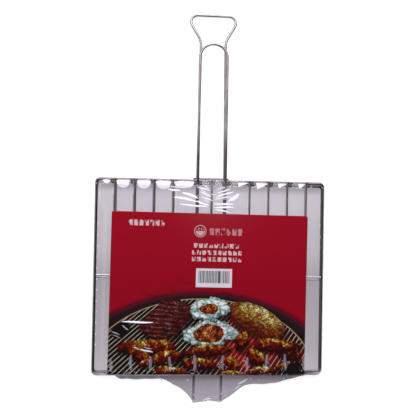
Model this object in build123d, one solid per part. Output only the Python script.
from build123d import *

import math
import os

# A flat double-leaf grill basket of bright-plated steel wire, lying flat with its handle towards +Y.
# The lower leaf lies at the bottom, the upper leaf on top of it. Lengths are in millimetres.

# Wires
FRAME_WIRE_R = 2.0
GRID_WIRE_R = 1.5
CROSS_WIRE_R = 1.25
HINGE_RING_WIRE_R = 1.0
LOCK_RING_WIRE_R = 1.5
WELD_SINK = 0.2
SMALL_WELD_SINK = 0.08
FREE_GAP = 0.3

# Leaves: both have the same rectangular frame, and the upper one sits a little nearer the handle
FRAME_WIDTH = 346.0
FRAME_LENGTH = 288.0
FRAME_CORNER_R = 5.5
LEAF_SHIFT = 4.1
LEAF_RISE = 4.45
GRID_PITCH = 29.2
GRID_STEPS = (-5, -4, -3, -2, 0, 2, 3, 4, 5)
GRID_OVERHANG = 1.0
LOWER_GRID_SHIFT = 1.8

# Handles
LEG_HALF_SPACING = 21.0
UPPER_HANDLE_REACH = 209.0
UPPER_LEG_TAIL = 1.5
NECK_HALF_SPACING = 19.0
NECK_REACH = 220.6
GRIP_REACH = 260.8
GRIP_FLARE = math.radians(30.4)
GRIP_BEND_R = 10.5
NECK_BEND_R = 26.0
LEG_BEND_R = 400.0
GRIP_DROP = 3.6

# Prongs: the far ends of the lower handle's wire, bent down to the ground
PRONG_REACH = 41.0
PRONG_BEND_AT = 12.0
PRONG_BEND_R = 20.0

# Hinge rings and lock ring
HINGE_RING_STEPS = (-4.5, -2.5, 2.5, 4.5)
LOCK_RING_WIDTH = 55.0
LOCK_RING_GAP = 0.3

# Printed card over the upper leaf
CARD_WIDTH = 298.0
CARD_LENGTH = 243.0
CARD_THICKNESS = 0.5
CARD_CORNER_R = 2.0
CARD_LIFT = 0.05
CARD_OFFSET = -1.3

# Heights of the wires' centre lines
GRIP_Z = FRAME_WIRE_R
LOWER_HANDLE_Z = GRIP_Z + GRIP_DROP
LOWER_FRAME_Z = LOWER_HANDLE_Z + 2 * FRAME_WIRE_R - WELD_SINK
LOWER_GRID_Z = LOWER_FRAME_Z - FRAME_WIRE_R - GRID_WIRE_R + WELD_SINK
LOWER_CROSS_Z = LOWER_GRID_Z + GRID_WIRE_R + CROSS_WIRE_R - SMALL_WELD_SINK
UPPER_FRAME_Z = LOWER_FRAME_Z + LEAF_RISE
UPPER_GRID_Z = UPPER_FRAME_Z + FRAME_WIRE_R + GRID_WIRE_R - WELD_SINK
UPPER_CROSS_Z = UPPER_GRID_Z - GRID_WIRE_R - CROSS_WIRE_R + SMALL_WELD_SINK
UPPER_HANDLE_Z = UPPER_FRAME_Z + 2 * FRAME_WIRE_R - WELD_SINK

# Places along Y: the origin is midway between the prong tips and the outer edge of the grip
PRONG_TILT = math.atan2(GRIP_DROP, PRONG_REACH - PRONG_BEND_AT)
GRIP_END = FRAME_LENGTH + GRIP_REACH + FRAME_WIRE_R
PRONG_END = -PRONG_REACH - FRAME_WIRE_R * math.sin(PRONG_TILT)
LOWER_FAR_Y = -(GRIP_END + PRONG_END) / 2
LOWER_NEAR_Y = LOWER_FAR_Y + FRAME_LENGTH
UPPER_FAR_Y = LOWER_FAR_Y + LEAF_SHIFT
UPPER_NEAR_Y = UPPER_FAR_Y + FRAME_LENGTH
LOCK_RING_Y = UPPER_NEAR_Y + FRAME_WIRE_R + LOCK_RING_WIRE_R + LOCK_RING_GAP


def along(path, radius):
    """Round wire of one radius along a path."""
    section = Plane(origin=path @ 0, z_dir=path % 0) * Circle(radius)
    return sweep(section, path=path, transition=Transition.RIGHT)


def frame(far_y, z):
    """Rectangular leaf frame, bent from one wire."""
    outline = Pos(0, far_y + FRAME_LENGTH / 2, z) * RectangleRounded(
        FRAME_WIDTH, FRAME_LENGTH, FRAME_CORNER_R
    )
    return along(outline.wire(), FRAME_WIRE_R)


def grid_wire(step, far_y, z, side_shift=0.0):
    """One long wire, welded to the outer side of the frame's far and near bars."""
    x = step * GRID_PITCH + side_shift
    start = (x, far_y - GRID_OVERHANG, z)
    end = (x, far_y + FRAME_LENGTH + GRID_OVERHANG, z)
    return along(Line(start, end), GRID_WIRE_R)


def cross_wire(far_y, frame_z, z):
    """The wire across the middle of a leaf, butting against its side bars."""
    rise = abs(z - frame_z)
    bar_face = FRAME_WIDTH / 2 - math.sqrt(FRAME_WIRE_R**2 - rise**2)
    reach = bar_face + SMALL_WELD_SINK
    y = far_y + FRAME_LENGTH / 2
    return along(Line((-reach, y, z), (reach, y, z)), CROSS_WIRE_R)


def lower_handle():
    """Both prongs, both legs and the flared grip, bent from one wire."""
    flare = (GRIP_REACH - NECK_REACH) * math.tan(GRIP_FLARE)
    half = [
        (LEG_HALF_SPACING, LOWER_FAR_Y - PRONG_REACH, GRIP_Z),
        (LEG_HALF_SPACING, LOWER_FAR_Y - PRONG_BEND_AT, LOWER_HANDLE_Z),
        (LEG_HALF_SPACING, LOWER_NEAR_Y, LOWER_HANDLE_Z),
        (NECK_HALF_SPACING, LOWER_NEAR_Y + NECK_REACH, LOWER_HANDLE_Z),
        (NECK_HALF_SPACING + flare, LOWER_NEAR_Y + GRIP_REACH, GRIP_Z),
    ]
    other_half = [(-x, y, z) for x, y, z in reversed(half)]
    bends = [PRONG_BEND_R, LEG_BEND_R, NECK_BEND_R, GRIP_BEND_R]
    path = FilletPolyline(*half, *other_half, radius=bends + bends[::-1])
    return along(path, FRAME_WIRE_R)


def upper_handle():
    """Long U of wire: two legs across the leaf, joined by a half-round end."""
    x = LEG_HALF_SPACING
    start = UPPER_FAR_Y - UPPER_LEG_TAIL
    bend_start = UPPER_NEAR_Y + UPPER_HANDLE_REACH - x
    crest = (0, UPPER_NEAR_Y + UPPER_HANDLE_REACH, UPPER_HANDLE_Z)
    right_leg = Line((x, start, UPPER_HANDLE_Z), (x, bend_start, UPPER_HANDLE_Z))
    arch = ThreePointArc(right_leg @ 1, crest, (-x, bend_start, UPPER_HANDLE_Z))
    left_leg = Line(arch @ 1, (-x, start, UPPER_HANDLE_Z))
    return along(Wire([right_leg, arch, left_leg]), FRAME_WIRE_R)


def hinge_ring(step):
    """Stadium-shaped loop, welded to the upper far bar and loose round the lower one."""
    loop_r = FRAME_WIRE_R + FREE_GAP + HINGE_RING_WIRE_R
    bars_apart = math.hypot(LEAF_SHIFT, LEAF_RISE)
    length = bars_apart - FREE_GAP - SMALL_WELD_SINK
    toward_upper = Vector(0, LEAF_SHIFT, LEAF_RISE).normalized()
    centre = Vector(step * GRID_PITCH, LOWER_FAR_Y, LOWER_FRAME_Z) + toward_upper * length / 2
    plane = Plane(origin=centre, x_dir=toward_upper, z_dir=(1, 0, 0))
    outline = plane * SlotCenterToCenter(length, 2 * loop_r)
    return along(outline.wire(), HINGE_RING_WIRE_R)


def lock_ring():
    """Flat loop threaded on the lower handle, which slides along its legs."""
    height = 2 * (FRAME_WIRE_R + FREE_GAP + LOCK_RING_WIRE_R)
    width = LOCK_RING_WIDTH - 2 * LOCK_RING_WIRE_R
    plane = Plane(origin=(0, LOCK_RING_Y, LOWER_HANDLE_Z), x_dir=(1, 0, 0), z_dir=(0, -1, 0))
    outline = plane * SlotOverall(width, height)
    return along(outline.wire(), LOCK_RING_WIRE_R)


def insert_card():
    """Flat printed card lying on the upper leaf, from over its far bar towards the near one."""
    z = UPPER_HANDLE_Z + FRAME_WIRE_R + CARD_LIFT
    outline = RectangleRounded(CARD_WIDTH, CARD_LENGTH, CARD_CORNER_R)
    return Pos(CARD_OFFSET, LOWER_FAR_Y + CARD_LENGTH / 2, z) * extrude(outline, CARD_THICKNESS)


parts = {
    "lower_frame": frame(LOWER_FAR_Y, LOWER_FRAME_Z),
    "lower_cross_wire": cross_wire(LOWER_FAR_Y, LOWER_FRAME_Z, LOWER_CROSS_Z),
    "lower_handle": lower_handle(),
    "upper_frame": frame(UPPER_FAR_Y, UPPER_FRAME_Z),
    "upper_cross_wire": cross_wire(UPPER_FAR_Y, UPPER_FRAME_Z, UPPER_CROSS_Z),
    "upper_handle": upper_handle(),
    "insert_card": insert_card(),
    "lock_ring": lock_ring(),
}
for number, step in enumerate(GRID_STEPS, start=1):
    parts[f"lower_grid_wire_{number}"] = grid_wire(step, LOWER_FAR_Y, LOWER_GRID_Z, LOWER_GRID_SHIFT)
    parts[f"upper_grid_wire_{number}"] = grid_wire(step, UPPER_FAR_Y, UPPER_GRID_Z)
for number, step in enumerate(HINGE_RING_STEPS, start=1):
    parts[f"hinge_ring_{number}"] = hinge_ring(step)

os.makedirs("parts", exist_ok=True)
for name, solid in parts.items():
    export_step(solid, f"parts/{name}.step")

print("hinge axis at y, z:", round(LOWER_FAR_Y, 3), round(LOWER_FRAME_Z, 3))
print("lock ring at y:", round(LOCK_RING_Y, 3), "neck at y:", round(LOWER_NEAR_Y + NECK_REACH, 3))
print("prong tilt, degrees:", round(math.degrees(PRONG_TILT), 3))
